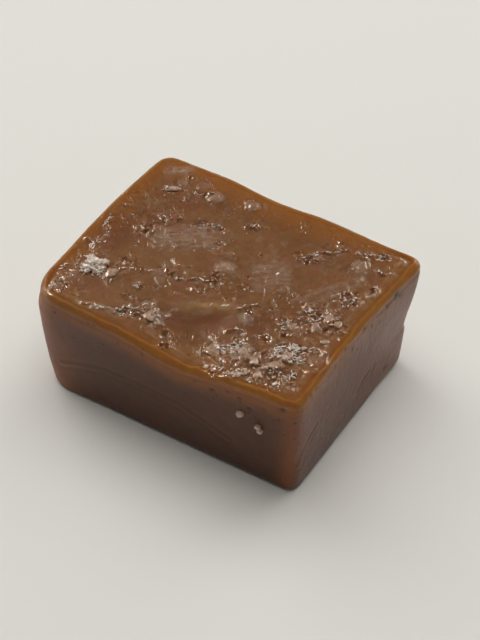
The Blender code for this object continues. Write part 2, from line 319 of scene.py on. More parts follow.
def remeshedBlock():
    block = copyOf(bpy.data.objects["caramel"], "caramelSkin")
    pick(block)
    bpy.ops.object.mode_set(mode="EDIT")
    bpy.ops.mesh.select_all(action="SELECT")
    bpy.ops.mesh.remove_doubles(threshold=0.01 * mm)
    bpy.ops.mesh.tris_convert_to_quads()
    bpy.ops.object.mode_set(mode="OBJECT")
    applyModifier(block, "SUBSURF", levels=1, render_levels=1)
    applyModifier(block, "REMESH", mode="VOXEL", voxel_size=blockLook["voxel"] * mm)
    selectFaces(block, lambda middle, normal: (normal[:, 2] > 0.45) & (middle[:, 2] > 8))
    bpy.ops.object.mode_set(mode="EDIT")
    bpy.ops.mesh.subdivide(number_cuts=1)
    bpy.ops.object.mode_set(mode="OBJECT")
    applyModifier(block, "SMOOTH", factor=0.5, iterations=4)
    return block


def crestDistances(points, onCrest):
    # how far each point is from the nearest point on the crest of an edge
    tree = KDTree(int(onCrest.sum()))
    for index, point in enumerate(points[onCrest]):
        tree.insert(point, index)
    tree.balance()
    return np.array([tree.find(point)[2] for point in points])


def onSpots(x, y, spots):
    total = np.zeros(len(x))
    for *oval, strength in spots:
        total = np.maximum(total, strength * spot(x, y, *oval))
    return total


def shapeTop(points, upward, rim):
    # gives the height that the top's own relief adds, and its masks
    look = blockLook
    x, y = points[:, 0], points[:, 1]
    wobble = lumps(points, 1.1, 1) * 0.55
    side = lumps(points, 1.1, 2) * 0.55
    calm = onSpots(x, y, look["calmSpots"])
    rough = smoothStep(onSpots(x + wobble, y + side, look["roughSpots"]), 0.10, 0.70)
    stray = smoothStep(lumps(points, 1.3, 16), 0.12, 0.40) * (1 - calm) * smoothStep(rim, 0.6, 1.4)
    rough = np.maximum(rough, 0.40 * stray)
    pale = smoothStep(onSpots(x + wobble, y + side, look["paleSpots"]), 0.15, 0.75)
    frosted = np.zeros(len(x))
    combed = np.stack([0.35 * (0.85 * x + 0.53 * y), 0.85 * y - 0.53 * x, 0 * x], axis=1)
    combing = lumps(combed, 0.34, 39)
    for *square, strength in look["frostPatches"]:
        away = squareDistance(x, y, *square, 5) + 0.25 * wobble + 0.40 * lumps(points, 0.5, 38)
        frost = strength * smoothStep(-away, -1.25, -0.75) * (0.95 + 0.7 * combing)
        pale = np.maximum(pale, frost)
        frosted = np.maximum(frosted, frost)
    for line, half, strength in look["paleStreaks"]:
        away = nearLine(x + 0.3 * wobble, y + 0.3 * side, line)
        streak = strength * bell(away, 1.2 * half) * (0.55 + 0.8 * lumps(points, 0.55, 23))
        pale = np.maximum(pale, streak)

    height = look["sway"] * lumps(points, 3.4, 3) + (0.035 - 0.02 * calm) * lumps(points, 1.5, 4)
    height += (0.020 - 0.012 * calm) * lumps(points * (1, 1.6, 1), 0.75, 14)
    ground = height.copy()
    height += 0.06 * frosted * combing
    # the coordinates are stirred, so that the crests wind instead of making round drops
    stirred = points + 0.35 * np.stack([lumps(points, 0.7, number) for number in (31, 32, 33)], axis=1)
    height += rough * look["lumpHeight"] * (0.25 * lumps(stirred, look["lumpSize"], 5)
                                            + crests(stirred, look["lumpSize"] * 1.3, 6, 4) - 0.3)
    height += rough * look["threadHeight"] * crests(stirred, look["threadSize"], 36, 4)
    crumb = lumps(stirred, look["crumbSize"], 9) + 0.5 * lumps(stirred, look["grainSize"], 10)
    crumb = smoothStep(crumb, -0.02, 0.30)
    height += (0.20 * pale + rough) * look["crumbHeight"] * (crumb - 0.4)
    # painted shade in the recesses of the relief and between the crumbs
    hollow = np.maximum(smoothStep(ground - height, 0.03, 0.14), 0.7 * rough * (1 - crumb))
    height += (0.3 * pale + rough) * look["grainHeight"] * lumps(points, look["grainSize"], 7)

    for atX, atY, radius, depth in look["pits"]:
        away = np.hypot(x - atX + 0.25 * radius * wobble, y - atY + 0.25 * radius * side)
        height -= depth * bell(away, radius)
        # painted shade in each pit
        hollow = np.maximum(hollow, 0.8 * bell(away, 0.8 * radius))
        height += 0.6 * depth * bell(away - 1.35 * radius, 0.30 * radius)
        rough = np.maximum(rough, 0.7 * bell(away, 1.5 * radius))
    for line, half, rise, wetness in look["folds"]:
        away = nearLine(x + 0.4 * wobble, y + 0.4 * side, line)
        height += rise * bell(away, half) * (0.75 + 0.5 * lumps(points, 0.9, 18))
        rough = np.maximum(rough, 0.8 * wetness * bell(away, 1.6 * half))
    sunk = np.zeros(len(x))
    fray = lumps(points, 0.45, 35)
    for *square, strength in look["sunkCrystals"]:
        away = squareDistance(x, y, *square) + 0.5 * wobble + 0.35 * fray
        inside = smoothStep(-away, -1.15, -0.65)
        # a painted shadow line along the back edge of each sunk crystal
        edge = 0.5 * bell(away - 1.16, 0.09) * smoothStep(y - square[1], 0, 0.5)
        rough = rough * (1 - 0.6 * inside)
        height = height * (1 - 0.5 * inside) + (0.06 + 0.05 * fray) * inside
        sunk = np.maximum(sunk, strength * inside)
        hollow = np.maximum(hollow * (1 - inside), edge)
        crumb = crumb * (1 - inside)
    # the caramel creeps up a little round every larger crystal
    for atX, atY, long, wide, *rest in chunkLook["crystals"]:
        away = np.hypot((x - atX) / long, (y - atY) / wide) * 2
        height += 0.06 * bell(away - 1.15 + 0.3 * wobble, 0.22)

    # thin lips and grooves that wind along inside the front and right top edges
    cutSides = np.maximum(smoothStep(-y, 6, 9), smoothStep(x, 10, 12.5))
    drift = 0.22 * lumps(points, 2.2, 8) + 0.08 * lumps(points, 0.8, 15)
    ringLine = bell(rim - 0.52 + drift, 0.16) * (0.4 + 0.6 * cutSides)
    height += look["rimBead"] * bell(rim - 0.20 + drift, 0.14) * cutSides
    height += 0.8 * look["rimBead"] * bell(rim - 1.15 + drift, 0.16) * cutSides
    height -= look["rimGroove"] * bell(rim - 0.70 + drift, 0.28) * cutSides
    leftRim = smoothStep(-x, 11.6, 12.8) * smoothStep(lumps(points, 0.9, 37), -0.1, 0.3)
    inner = np.maximum(smoothStep(rim, 0.7, 1.6), leftRim)
    busy = np.maximum(rough, 0.45 * frosted)
    busy = np.maximum(busy, (1 - calm) * (0.22 + 0.22 * lumps(points, 2.6, 17)) * inner)

    masks = {"rough": rough, "busy": busy, "pale": pale, "sunk": sunk, "ringLine": ringLine,
             "hollow": hollow, "crumb": rough * crumb}
    return height * upward, {name: values * upward for name, values in masks.items()}


def shapeSides(points, facing):
    # gives the height that the sides' own relief adds, and the mask of their specks
    look = blockLook
    x, y, z = points.T
    height = look["sway"] * lumps(points, 4.2, 11) + 0.02 * lumps(points, 1.2, 12)

    # the knife drags fine upright ribs down the short sides
    ribs = lumps(points * (1, 1, 0.16), 0.55, 13)
    height += (look["ribHeight"] * ribs * (facing["right"] + 0.7 * facing["left"])
               * (0.55 + 0.45 * smoothStep(z, 7.5, 11)))
    specks = np.zeros(len(x))
    for name, across in (("front", x), ("right", y), ("back", x), ("left", y)):
        for line in look["knifeMarks"][name]:
            away = nearLine(across, z, line)
            raised = look["markHeight"] * bell(away, 0.21)
            height += (raised - look["markGroove"] * bell(away - 0.43, 0.28)) * facing[name]
        dark = np.zeros(len(x))
        for atAcross, atUp, radius in look["specks"][name]:
            dark = np.maximum(dark, bell(np.hypot(across - atAcross, z - atUp), radius))
        specks += dark * facing[name]
    return height - look["speckDepth"] * specks, specks


def wearCorners(points, x, y, z):
    # the left front corner is lower at the top and fuller below, the back right one has a lip
    look = blockLook
    worn = smoothStep(-x, 11.2, 13.4) * smoothStep(-y, -3.0, 7.0)
    points[:, 2] -= look["wornDrop"] * worn * smoothStep(z, 9, 12.5)
    fuller = look["wornBulge"] * bell(np.hypot(x + 13.4, y + 9.6), 3.0) * smoothStep(-z, -12.5, -10.5)
    points[:, :2] -= fuller[:, None] * (0.85, 0.53)
    foot = look["footBulge"] * bell(np.hypot(x - 14.0, y - 10.2), 2.6)
    foot = foot * smoothStep(-z, -5.6, -4.6) * smoothStep(z, 0.0, 1.0)
    points[:, :2] += foot[:, None] * (0.85, 0.53)
    points[z < 0.03, 2] = 0


def tintMasks(points, normals, x, y, z, rim, corner, facing, upward):
    # where each colour of the caramel goes, apart from the masks of the top's relief
    look = blockLook
    gold = sum(strength * spot(x, y, *oval) for *oval, strength in look["goldStreaks"])
    dim = 1 - 0.3 * smoothStep(-x, 0.0, 6.0) * smoothStep(-y, 6.5, 9.0)
    # painted light: a glow where light comes through the thin caramel under the top edges and at the
    # corners, and the sides facing left painted lighter
    leftward = smoothStep(-normals[:, 0], 0.2, 0.8)
    underRim = (1 - smoothStep(rim, 0.2, 2.9)) * (1 - 0.25 * facing["right"]) * dim
    atCorner = np.where(x < 0, bell(corner, 1.9 + 0.14 * np.maximum(6 - z, 0)), 0.62 * bell(corner, 1.2))
    atCorner *= (1 - 0.6 * facing["right"]) * (1 - 0.45 * smoothStep(y, 2, 8))
    toCorner = np.sqrt((x + 12.6) ** 2 + (y + 11) ** 2 + (z - 12.6) ** 2)
    paintedGlow = np.maximum(underRim, np.maximum(atCorner, 0.75 * bell(toCorner, 2.8)))
    drift = 0.5 * lumps(points, 2.0, 19)
    # painted sheen: the right face paler towards its back, where it reflects the bright table
    backHalf = (0.15 + 1.0 * smoothStep(y, -2, 10)) * facing["right"]
    frontCorners = bell(np.hypot(x - 13.4, y + 10.2), 0.6) + bell(np.hypot(x + 12.7, y + 10.3), 0.6)
    return {
        "gold": gold * (0.65 + 0.7 * lumps(points, 0.6, 22)),
        # rim and nearRim: where the painted glow of the top edges goes
        "rim": bell(rim - 0.1, 0.55) * dim,
        "nearRim": bell(rim, 2.0),
        "paintedGlow": np.maximum(paintedGlow, (0.6 - 0.2 * smoothStep(-z, -9, -2)) * leftward),
        "dark": onSpots(x + drift, y - drift, look["darkSpots"]) * upward,
        "border": np.maximum(smoothStep(y + drift, 7.0, 9.4), smoothStep(-x + drift, 11.4, 13.0)),
        # painted sheen on the upper left of the front face and the back of the right face, for the bright
        # table they reflect
        "paintedSideSheen": np.maximum(spot(x, z, -11.8, 6.0, 2.8, 3.4) * facing["front"], backHalf),
        # how far below the top: it places the painted shade low on the sides, and the bubbles
        "depth": 1 - z / 12,
        "matte": frontCorners * smoothStep(z, 12, 12.6),
        "upward": upward,
        "shortSide": facing["right"],
    }


def makeBlock():
    block = remeshedBlock()
    mesh = block.data
    points, normals = readPoints(mesh), readNormals(mesh)
    x, y, z = points.T
    upward = smoothStep(normals[:, 2], 0.35, 0.85)
    facing = {"front": -normals[:, 1], "right": normals[:, 0],
              "back": normals[:, 1], "left": -normals[:, 0]}
    facing = {name: smoothStep(values, 0.5, 0.9) for name, values in facing.items()}
    rim = crestDistances(points, (z > 9) & (normals[:, 2] > 0.62) & (normals[:, 2] < 0.80))
    between = np.abs(np.abs(normals[:, 0]) - np.abs(normals[:, 1])) < 0.25
    corner = crestDistances(points, between & (np.abs(normals[:, 2]) < 0.3) & (z > 1))

    topHeight, masks = shapeTop(points, upward, rim)
    sideHeight, specks = shapeSides(points, facing)
    sideways = (1 - upward) * smoothStep(z, 0.1, 1.2)
    sideHeight -= blockLook["rimCrease"] * bell(rim - 0.62, 0.16) * sideways
    shift = normals * (sideHeight * sideways)[:, None]
    shift[:, 2] += topHeight
    points = points + shift
    wearCorners(points, x, y, z)
    writePoints(mesh, points)

    masks.update(tintMasks(points, normals, x, y, z, rim, corner, facing, upward), speck=specks)
    for name, values in masks.items():
        writeMask(mesh, name, values)

    # the flat base becomes one face
    selectFaces(block, lambda middle, normal: middle[:, 2] < 0.002)
    bpy.ops.object.mode_set(mode="EDIT")
    bpy.ops.mesh.dissolve_faces()
    bpy.ops.object.mode_set(mode="OBJECT")
    bpy.ops.object.shade_smooth()
    block.data.materials.clear()
    block.data.materials.append(makeCaramelMaterial())
    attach(block, "root")
    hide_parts("caramel")
    print("block done:", len(mesh.polygons), "faces")
    return block


# Materials.

def newMaterial(name):
    material = bpy.data.materials.new(name)
    material.use_nodes = True
    tree = material.node_tree
    return material, tree, tree.nodes["Principled BSDF"]


def addNode(tree, kind, settings=None, **inputs):
    node = tree.nodes.new(kind)
    for key, value in (settings or {}).items():
        setattr(node, key, value)
    for key, value in inputs.items():
        name = key if key in node.inputs else key.replace("_", " ")
        if isinstance(value, bpy.types.NodeSocket):
            tree.links.new(value, node.inputs[name])
        else:
            node.inputs[name].default_value = value
    return node


def mask(tree, name):
    return addNode(tree, "ShaderNodeAttribute", {"attribute_name": name}).outputs["Fac"]


def mixColor(tree, factor, first, second):
    node = tree.nodes.new("ShaderNodeMix")
    node.data_type = "RGBA"
    for socket, value in zip((node.inputs[0], node.inputs[6], node.inputs[7]), (factor, first, second)):
        if isinstance(value, bpy.types.NodeSocket):
            tree.links.new(value, socket)
        else:
            socket.default_value = value
    return node.outputs[2]


def doMath(tree, operation, first, second=0.0, third=None, clamp=False):
    node = tree.nodes.new("ShaderNodeMath")
    node.operation = operation
    node.use_clamp = clamp
    for socket, value in zip(node.inputs, (first, second, third)):
        if isinstance(value, bpy.types.NodeSocket):
            tree.links.new(value, socket)
        elif value is not None:
            socket.default_value = value
    return node.outputs[0]


def smooth(tree, value, start, end):
    # 0 below start, 1 above end, with a soft step between
    node = addNode(tree, "ShaderNodeMapRange", {"interpolation_type": "SMOOTHSTEP"}, Value=value,
                   From_Min=start, From_Max=end)
    return node.outputs[0]


def times(tree, first, second):
    return doMath(tree, "MULTIPLY", first, second)


def paint(tree, color, coat, amount, strength=1.0):
    # a coat of another colour over this one, where amount says and no thicker than strength
    return mixColor(tree, times(tree, amount, strength), color, coat)


def makeMottleGroup():
    # cloudy noise in the piece's own space, about size millimetres across, turned and then stretched
    group = bpy.data.node_groups.new("mottle", "ShaderNodeTree")
    for name, kind in (("Size", "Float"), ("Detail", "Float"), ("Roughness", "Float"), ("Twist", "Float"),
                       ("Turn", "Float"), ("Stretch", "Vector")):
        group.interface.new_socket(name, in_out="INPUT", socket_type="NodeSocket" + kind)
    group.interface.new_socket("Mottle", in_out="OUTPUT", socket_type="NodeSocketFloat")
    given = group.nodes.new("NodeGroupInput").outputs
    where = addNode(group, "ShaderNodeTexCoord").outputs["Object"]
    turn = addNode(group, "ShaderNodeCombineXYZ", Z=given["Turn"]).outputs[0]
    where = addNode(group, "ShaderNodeMapping", Vector=where, Rotation=turn).outputs[0]
    where = addNode(group, "ShaderNodeMapping", Vector=where, Scale=given["Stretch"]).outputs[0]
    scale = doMath(group, "DIVIDE", 1 / mm, given["Size"])
    clouds = addNode(group, "ShaderNodeTexNoise", Vector=where, Scale=scale, Detail=given["Detail"],
                     Roughness=given["Roughness"], Distortion=given["Twist"])
    group.links.new(clouds.outputs["Fac"], group.nodes.new("NodeGroupOutput").inputs["Mottle"])
    return group


def mottleAt(tree, size, detail=2.0, roughness=0.5, stretch=(1, 1, 1), twist=0.0, turn=0.0):
    node = tree.nodes.new("ShaderNodeGroup")
    node.node_tree = mottleGroup
    values = {"Size": size, "Detail": detail, "Roughness": roughness, "Twist": twist,
              "Turn": math.radians(turn), "Stretch": stretch}
    for name, value in values.items():
        node.inputs[name].default_value = value
    return node.outputs["Mottle"]


caramelLook = {
    "top": (0.242, 0.115, 0.044, 1),
    "topDark": (0.209, 0.091, 0.031, 1),
    "side": (0.116, 0.036, 0.011, 1),
    # painted shade: the sides darker towards the bottom
    "sideShadeLow": (0.074, 0.021, 0.005, 1),
    # painted glow of light coming through the thin edges and corners
    "paintedGlow": (0.300, 0.083, 0.010, 1),
    # painted glow of light coming through the thin top edges
    "rim": (0.350, 0.145, 0.026, 1),
    "ringLine": (0.200, 0.062, 0.008, 1),
    "border": (0.292, 0.103, 0.021, 1),
    "dark": (0.185, 0.062, 0.024, 1),
    "fleck": (0.150, 0.058, 0.022, 1),
    "blush": (0.262, 0.098, 0.048, 1),
    # painted shade for recesses, pits and the gaps between crumbs
    "hollow": (0.070, 0.020, 0.006, 1),
    "shortSide": (0.182, 0.055, 0.015, 1),
    # painted sheen of the bright table reflected in the sides
    "paintedSideSheen": (0.225, 0.078, 0.036, 1),
    "pale": (0.325, 0.208, 0.148, 1),
    "sunk": (0.335, 0.235, 0.178, 1),
    "wet": (0.250, 0.108, 0.045, 1),  # between the crumbs of the rough spots
    "crumb": (0.370, 0.225, 0.140, 1),
    # painted shade in the low ground beside the crust's ridges
    "dipShade": (0.120, 0.044, 0.016, 1),
    # pale sugar crust and a painted highlight on the tops of the crust's ridges
    "crest": (0.360, 0.195, 0.115, 1),
    "gold": (0.46, 0.280, 0.120, 1),
    "speck": (0.016, 0.004, 0.002, 1),
    "pebble": (0.270, 0.150, 0.110, 1),
    "radius": (1.0, 0.36, 0.09),  # how far red, green and blue spread under the skin
    "scale": 0.6,
    "ior": 1.38,
    "bump": 0.06,
    "bubbleSpacing": 0.95,
    "duller": {"pale": 0.10, "busy": -0.20, "rim": -0.20, "shortSide": -0.12},  # than the bare caramel
    "glossiest": 0.13,
}


def paintTop(tree, look, busy, away):
    cloud = smooth(tree, mottleAt(tree, 4.0, 3), 0.35, 0.65)
    color = mixColor(tree, cloud, look["topDark"], look["top"])
    fleck = smooth(tree, mottleAt(tree, 0.7, 4, 0.7, twist=0.5), 0.45, 0.68)
    color = paint(tree, color, look["fleck"], fleck, 0.55)
    blush = smooth(tree, mottleAt(tree, 2.4, 3, 0.6, turn=70), 0.48, 0.66)
    color = paint(tree, color, look["blush"], blush, 0.55)
    dust = smooth(tree, mottleAt(tree, 0.9, 4, 0.7, twist=0.5, turn=40), 0.50, 0.72)
    color = paint(tree, color, look["pale"], dust, 0.45)
    color = paint(tree, color, look["border"], mask(tree, "border"), 0.85)
    color = paint(tree, color, look["dark"], mask(tree, "dark"))
    color = paint(tree, color, look["wet"], mask(tree, "rough"))
    # painted shade in the low ground beside the crust's ridges
    dipShade = times(tree, smooth(tree, away, 0.06, 0.14), busy)
    color = paint(tree, color, look["dipShade"], dipShade, 0.75)
    # the tops of the crust's ridges painted paler: pale sugar crust, and a painted highlight
    crest = times(tree, smooth(tree, away, 0.022, 0.0), busy)
    color = paint(tree, color, look["crest"], crest, 0.60)
    # painted shade in the recesses
    color = paint(tree, color, look["hollow"], mask(tree, "hollow"), 0.75)
    crumb = smooth(tree, mottleAt(tree, 0.35, 2), 0.25, 0.65)
    return paint(tree, color, look["crumb"], times(tree, mask(tree, "crumb"), crumb))


def paintSides(tree, look, pebbles):
    color = mixColor(tree, mask(tree, "shortSide"), look["side"], look["shortSide"])
    # painted shade, darker towards the bottom of the sides
    color = paint(tree, color, look["sideShadeLow"], mask(tree, "depth"))
    # painted glow where light comes through the thin edges and corners
    color = paint(tree, color, look["paintedGlow"], mask(tree, "paintedGlow"))
    # painted sheen where the sides reflect the bright table
    color = paint(tree, color, look["paintedSideSheen"], mask(tree, "paintedSideSheen"), 0.85)
    pebbleAmount = doMath(tree, "MULTIPLY_ADD", mask(tree, "shortSide"), 0.30, 0.05)
    pebbleAmount = times(tree, smooth(tree, pebbles, 0.46, 0.66), pebbleAmount)
    color = paint(tree, color, look["pebble"], pebbleAmount)
    # small burst bubbles, most of them just under the rim
    where = addNode(tree, "ShaderNodeTexCoord").outputs["Object"]
    bubbles = addNode(tree, "ShaderNodeTexVoronoi", Vector=where, Scale=1 / (look["bubbleSpacing"] * mm))
    bubbles = smooth(tree, bubbles.outputs["Distance"], 0.20, 0.11)
    bubbles = times(tree, bubbles, smooth(tree, mask(tree, "depth"), 0.45, 0.12))
    return paint(tree, color, look["speck"], bubbles, 0.85)


def makeCaramelMaterial():
    look = caramelLook
    material, tree, shader = newMaterial("caramelSkin")
    busy, pale = mask(tree, "busy"), mask(tree, "pale")
    wind = mottleAt(tree, 0.80, 2, 0.6, twist=1.2)
    away = doMath(tree, "ABSOLUTE", doMath(tree, "SUBTRACT", wind, 0.5))
    pebbles = mottleAt(tree, 0.40, 3, 0.65, twist=0.4)
    ripple = mottleAt(tree, 0.45, 3, 0.65, (0.6, 1.5, 1), twist=0.6, turn=-32)

    side, top = paintSides(tree, look, pebbles), paintTop(tree, look, busy, away)
    color = mixColor(tree, mask(tree, "upward"), side, top)
    combed = times(tree, pale, smooth(tree, ripple, 0.37, 0.57))
    color = paint(tree, color, look["pale"], combed)
    sunk = smooth(tree, mottleAt(tree, 0.40, 3, 0.7), 0.26, 0.58)
    color = paint(tree, color, look["sunk"], times(tree, mask(tree, "sunk"), sunk))
    # painted golden highlight on the thin caramel of the ridge
    color = paint(tree, color, look["gold"], mask(tree, "gold"))
    # painted glow of light coming through the thin caramel along the top edges
    rim = doMath(tree, "MAXIMUM", mask(tree, "rim"), times(tree, mask(tree, "nearRim"), 0.30))
    # breaks the rim's painted glow into patches
    worn = smooth(tree, mottleAt(tree, 0.9, 3, 0.6, twist=0.5), 0.36, 0.60)
    rim = times(tree, rim, doMath(tree, "MULTIPLY_ADD", worn, 0.35, 0.65))
    color = paint(tree, color, look["rim"], rim)
    color = paint(tree, color, look["ringLine"], mask(tree, "ringLine"), 0.7)
    color = paint(tree, color, look["speck"], mask(tree, "speck"))
    tree.links.new(color, shader.inputs["Base Color"])

    rough = doMath(tree, "MULTIPLY_ADD", mottleAt(tree, 1.2, 2), 0.10, 0.27)
    sideways = doMath(tree, "SUBTRACT", 1.0, mask(tree, "upward"))
    rough = doMath(tree, "MULTIPLY_ADD", sideways, 0.12, rough)
    for name, change in look["duller"].items():
        rough = doMath(tree, "MULTIPLY_ADD", mask(tree, name), change, rough, clamp=True)
    rough = doMath(tree, "MAXIMUM", rough, look["glossiest"])
    rough = doMath(tree, "MULTIPLY_ADD", mask(tree, "matte"), 0.40, rough, clamp=True)
    tree.links.new(rough, shader.inputs["Roughness"])

    ribs = mottleAt(tree, 0.35, 3, 0.6, (1, 1, 0.14))
    ribs = doMath(tree, "MULTIPLY_ADD", pebbles, 1.3, times(tree, ribs, 0.5))
    ribs = times(tree, ribs, mask(tree, "shortSide"))
    grainAmount = doMath(tree, "MULTIPLY_ADD", pale, 0.5, 0.25)
    height = doMath(tree, "ADD", times(tree, mottleAt(tree, 0.30, 3, 0.6), grainAmount), ribs)
    combing = times(tree, ripple, times(tree, pale, 1.7))
    height = doMath(tree, "ADD", combing, height)
    crust = times(tree, smooth(tree, away, 0.105, 0.0), busy)
    height = doMath(tree, "MULTIPLY_ADD", crust, 1.15, height)
    bump = addNode(tree, "ShaderNodeBump", Strength=1.0, Distance=look["bump"] * mm, Height=height)
    tree.links.new(bump.outputs[0], shader.inputs["Normal"])

    shader.inputs["Subsurface Weight"].default_value = 1.0
    shader.inputs["Subsurface Radius"].default_value = look["radius"]
    shader.inputs["Subsurface Scale"].default_value = look["scale"] * mm
    shader.inputs["IOR"].default_value = look["ior"]
    return material


# Salt: a few crystals cut from cubes, then sized, turned and set into the caramel.

saltLook = {
    "seed": 11,
    "kinds": 7,  # how many different crystals are cut
    "cuts": 9,
    "clear": (0.270, 0.145, 0.080, 1),  # where the caramel shows through
    "cloudy": (0.435, 0.290, 0.205, 1),
    "white": (0.95, 0.825, 0.725, 1),
    "depth": 0.6,  # share of the light that goes under the surface
    "scale": 0.18,
    "ior": 1.5,
    "bump": 0.04,
}


def cutCrystal(number):
    # a unit cube with its corners cut off at odd angles and its edges rounded
    bpy.ops.object.select_all(action="DESELECT")
    bpy.ops.mesh.primitive_cube_add(size=1, location=(0, 0, 0))
    crystal = bpy.context.object
    crystal.name = "crystal%d" % number
    bpy.ops.object.mode_set(mode="EDIT")
    for cut in range(saltLook["cuts"]):
        way = Vector([chance.uniform(-1, 1) for axis in range(3)]).normalized()
        bpy.ops.mesh.select_all(action="SELECT")
        bpy.ops.mesh.bisect(plane_co=way * chance.uniform(0.38, 0.56), plane_no=way,
                            use_fill=True, clear_outer=True)
    bpy.ops.mesh.select_all(action="SELECT")
    bpy.ops.mesh.bevel(offset=0.09, segments=2, affect="EDGES")
    bpy.ops.object.mode_set(mode="OBJECT")
    bpy.ops.object.shade_smooth_by_angle(angle=math.radians(35))
    return crystal


def wearCrystal(crystal, name):
    # the same crystal with its facets half dissolved
    worn = copyOf(crystal, name)
    pick(worn)
    bpy.ops.object.mode_set(mode="EDIT")
    bpy.ops.mesh.select_all(action="SELECT")
    bpy.ops.mesh.quads_convert_to_tris()
    bpy.ops.object.mode_set(mode="OBJECT")
    applyModifier(worn, "REMESH", mode="VOXEL", voxel_size=0.07)
    applyModifier(worn, "SMOOTH", factor=0.5, iterations=10)
    points, normals = readPoints(worn.data) * mm, readNormals(worn.data)
    dents = 0.08 * lumps(points, 0.45, 20) + 0.05 * lumps(points, 0.20, 21)
    writePoints(worn.data, (points + normals * dents[:, None]) / mm)
    bpy.ops.object.shade_smooth()
    return worn


def curlCrystal(crystal, bend, name):
    # the same crystal bent sideways, so that it lies as a curl once it is stretched
    curl = copyOf(crystal, name)
    points = readPoints(curl.data) * mm
    points[:, 1] += bend * (4 * points[:, 0] ** 2 - 0.5) + 0.3 * np.sin(9 * points[:, 0])
    writePoints(curl.data, points / mm)
    return curl


def setCrystal(kind, at, size, turn, cloudy, foot=None):
    # one crystal of a kind, sized in millimetres, with its place in its mesh
    crystal = copyOf(kind, "grain")
    stretch = Matrix.Diagonal((*[part * mm for part in size], 1))
    crystal.data.transform(Matrix.Translation(Vector(at) * mm) @ turn.to_matrix().to_4x4() @ stretch)
    # the foot of a crystal takes on the colour of the caramel it sits in
    heights = readPoints(crystal.data)[:, 2]
    reach = 0.45 * size[2]
    above = np.ones(len(heights)) if foot is None else smoothStep(heights - foot, -0.2 * reach, reach)
    writeMask(crystal.data, "cloudy", cloudy * above)
    return crystal


def anyTurn():
    turn = Vector([chance.gauss(0, 1) for axis in range(3)]).normalized()
    return Matrix.Rotation(chance.uniform(0, 6.28), 3, turn).to_quaternion()


def joinAs(pieces, name):
    pick(*pieces)
    bpy.ops.object.join()
    joined = bpy.context.object
    joined.name = name
    joined.data.name = name
    joined.data.materials.append(saltMaterial)
    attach(joined, "root")
    print(name, "done:", len(joined.data.polygons), "faces")
    return joined


def topHeightAt(x, y):
    spotFound = surface.ray_cast(Vector((x, y, 30)) * mm, Vector((0, 0, -1)))[0]
    return spotFound.z / mm if spotFound else None

# the larger crystals on top
chunkLook = {
    "flatness": 0.60,  # height against the shorter side
    "tilt": 0.2,
    # place (x, y), length, width, turn, cloudiness and how far they stand out
    "crystals": [
        (3.5, -8, 1.4, 1.6, 25, 0.66, 0.42), (5.4, -7.2, 1, 1.6, 60, 0.85, 0.34),
        (6.6, -7.3, 0.9, 1.4, 75, 0.75, 0.36), (9.4, -7.2, 0.9, 1, 15, 0.72, 0.5),
        (7.7, -7.6, 0.75, 1.1, 20, 0.85, 0.46), (8.8, -9, 0.85, 0.75, 45, 0.9, 0.5),
        (7.3, -9.7, 0.85, 0.75, 0, 0.85, 0.5), (6.4, -9.9, 0.6, 0.6, 30, 0.85, 0.5),
        (8.4, -9.6, 0.5, 0.5, 10, 0.8, 0.5), (4.2, -9.8, 0.45, 0.4, 0, 0.95, 0.5),
        (5.1, -9.9, 0.5, 0.45, 20, 0.95, 0.5), (8.9, -7.9, 0.6, 0.4, 20, 0.85, 0.5),
        (10.6, -9.2, 0.5, 0.45, 0, 1, 0.55), (9.9, -5.9, 1.2, 0.9, 40, 1, 0.36),
        (8.3, -2.5, 1, 0.8, 0, 0.6, 0.45), (12.7, 4.2, 0.7, 0.7, 0, 0.6, 0.45),
        (10.6, -0.2, 0.9, 1, 30, 0.72, 0.5), (11.7, -0.3, 0.7, 0.9, 0, 0.68, 0.5),
        (10.2, -1.6, 0.9, 1.2, 35, 0.62, 0.45), (11.8, -2.8, 0.9, 0.5, 20, 0.75, 0.5),
        (12.3, 3.1, 0.5, 0.5, 10, 0.72, 0.45), (-3, -7.9, 1.3, 1.4, 20, 0.95, 0.42),
        (4, 2.4, 0.4, 0.36, 0, 1, 0.8), (-10.4, 6.8, 1.3, 0.6, 25, 1, 0.4),
        (-0.4, 0.5, 1.6, 1.4, 20, 0.8, 0.25), (-6.2, 7.9, 1.3, 1.1, 30, 0.75, 0.05),
        (-2.5, 8.7, 1.1, 1, 0, 0.75, 0.08), (-8.6, -5.6, 1.3, 1.1, 20, 0.75, 0.38),
        (10, 7.1, 1.2, 1.4, 10, 0.7, 0.2), (-12.2, -2.2, 0.6, 0.6, 0, 0.55, 0.35),
    ],
}


def makeChunks(kinds):
    pieces = []
    for number, (x, y, long, wide, angle, cloudy, stand) in enumerate(chunkLook["crystals"]):
        tall = chunkLook["flatness"] * min(long, wide)
        tilt = chance.uniform(-chunkLook["tilt"], chunkLook["tilt"])
        turn = Matrix.Rotation(math.radians(angle), 3, "Z") @ Matrix.Rotation(tilt, 3, "X")
        foot = topHeightAt(x, y)
        at = (x, y, foot + tall * (stand * 0.5 - 0.48))
        kind = kinds[number % len(kinds)]
        pieces.append(setCrystal(kind, at, (long, wide, tall), turn.to_quaternion(), cloudy, foot))
    return joinAs(pieces, "saltChunks")


